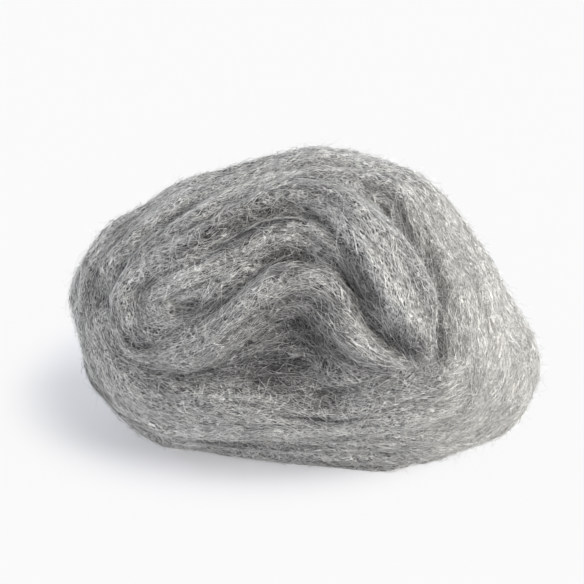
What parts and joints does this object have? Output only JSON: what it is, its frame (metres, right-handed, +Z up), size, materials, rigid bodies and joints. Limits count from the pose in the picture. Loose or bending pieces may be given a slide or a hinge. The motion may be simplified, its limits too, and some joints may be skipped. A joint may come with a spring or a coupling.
{
  "type": "aluminium wool ball",
  "caption": "Loose ball of fine aluminium wool, a long sliver folded on itself in bands and bunched by hand, used to scour, polish and filter.",
  "frame": {"origin": "on the pressed-flat underside, under the middle of the ball's box", "axes": "+Z up from the surface the ball lies on, +X along the ball's length towards the right end, +Y from the folded front to the back"},
  "size_m": [0.1512, 0.0996, 0.0978],
  "materials": {
    "aluminium_wool": "fine matted fibres, dull silver grey"
  },
  "bodies": {
    "root": {"wool_ball": "aluminium_wool"}
  },
  "joints": []
}
